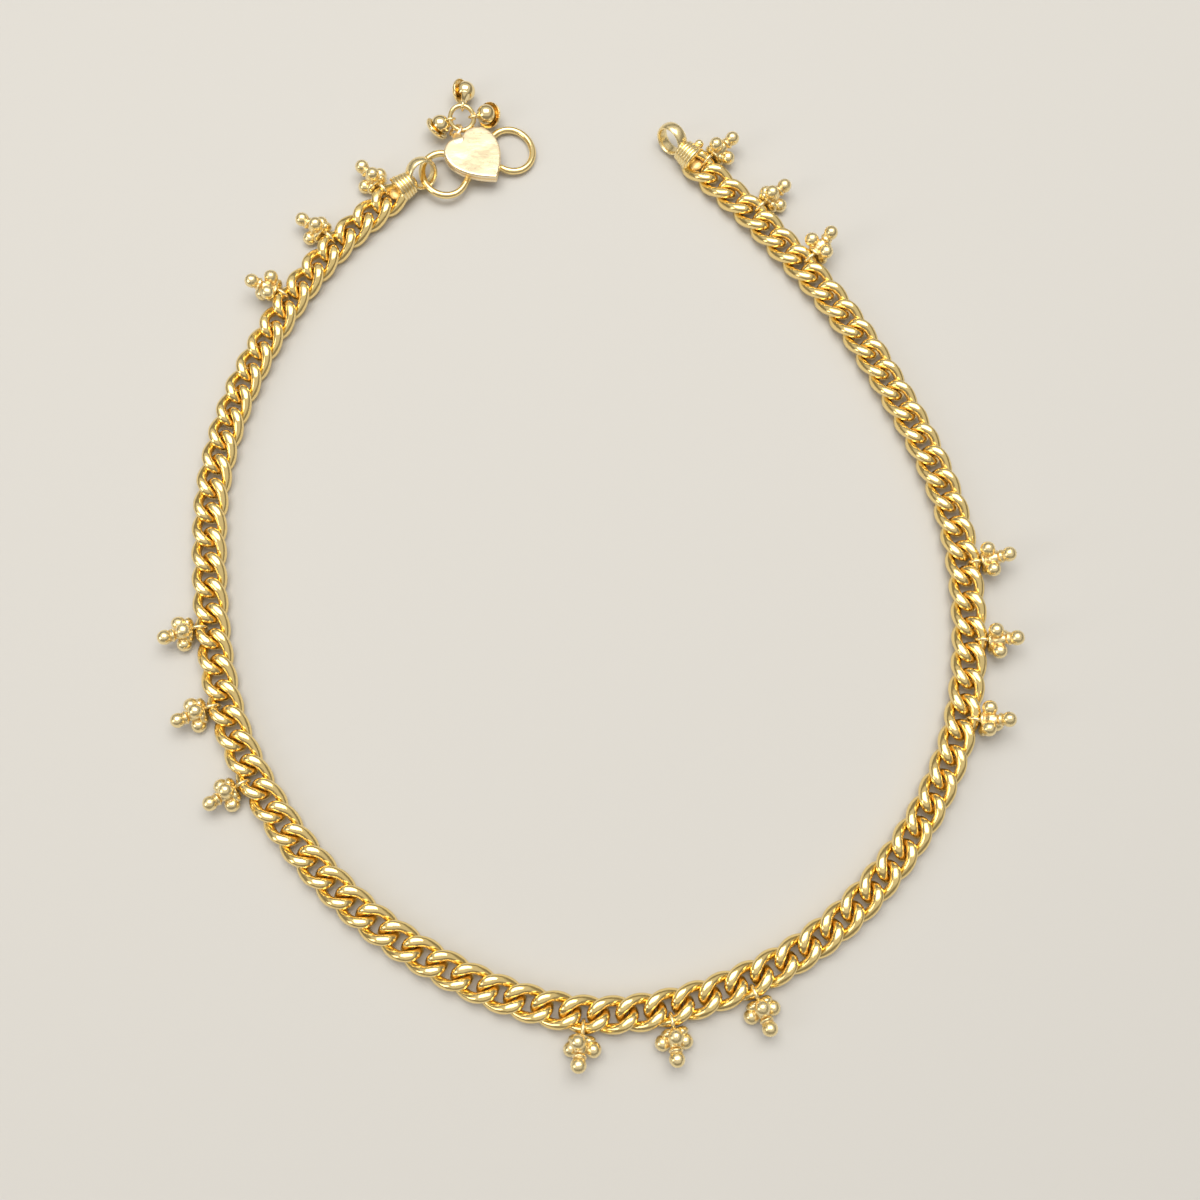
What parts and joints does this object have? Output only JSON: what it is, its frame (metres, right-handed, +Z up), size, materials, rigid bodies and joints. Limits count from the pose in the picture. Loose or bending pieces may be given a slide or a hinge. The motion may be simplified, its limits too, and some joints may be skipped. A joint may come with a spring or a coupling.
{
  "type": "charm anklet",
  "caption": "Gold-tone curb-chain anklet lying open, with small granule charms in groups along its outer side and an S-hook clasp with a plain heart plate.",
  "frame": {"origin": "centre of the footprint, on the surface that the anklet lies on", "axes": "+Z up from the surface; +Y towards the two open ends, along the loop's longer way; +X towards the end without the hook"},
  "size_m": [0.091, 0.1119, 0.0039],
  "materials": {
    "gold": "polished gold plating"
  },
  "bodies": {
    "root": {"chain_section_01": "gold", "chain_section_02": "gold", "chain_section_03": "gold", "chain_section_04": "gold", "chain_section_05": "gold", "chain_section_06": "gold", "chain_section_07": "gold", "chain_section_08": "gold", "chain_section_09": "gold", "chain_section_10": "gold", "charm_01": "gold", "charm_02": "gold", "charm_03": "gold", "charm_04": "gold", "charm_05": "gold", "charm_06": "gold", "charm_07": "gold", "charm_08": "gold", "charm_09": "gold", "charm_10": "gold", "charm_11": "gold", "charm_12": "gold", "charm_13": "gold", "charm_14": "gold", "charm_15": "gold", "left_end_cap": "gold", "right_end_cap": "gold", "s_hook": "gold", "tassel_ring": "gold", "drop_top": "gold", "drop_right": "gold", "drop_left": "gold"}
  },
  "joints": []
}
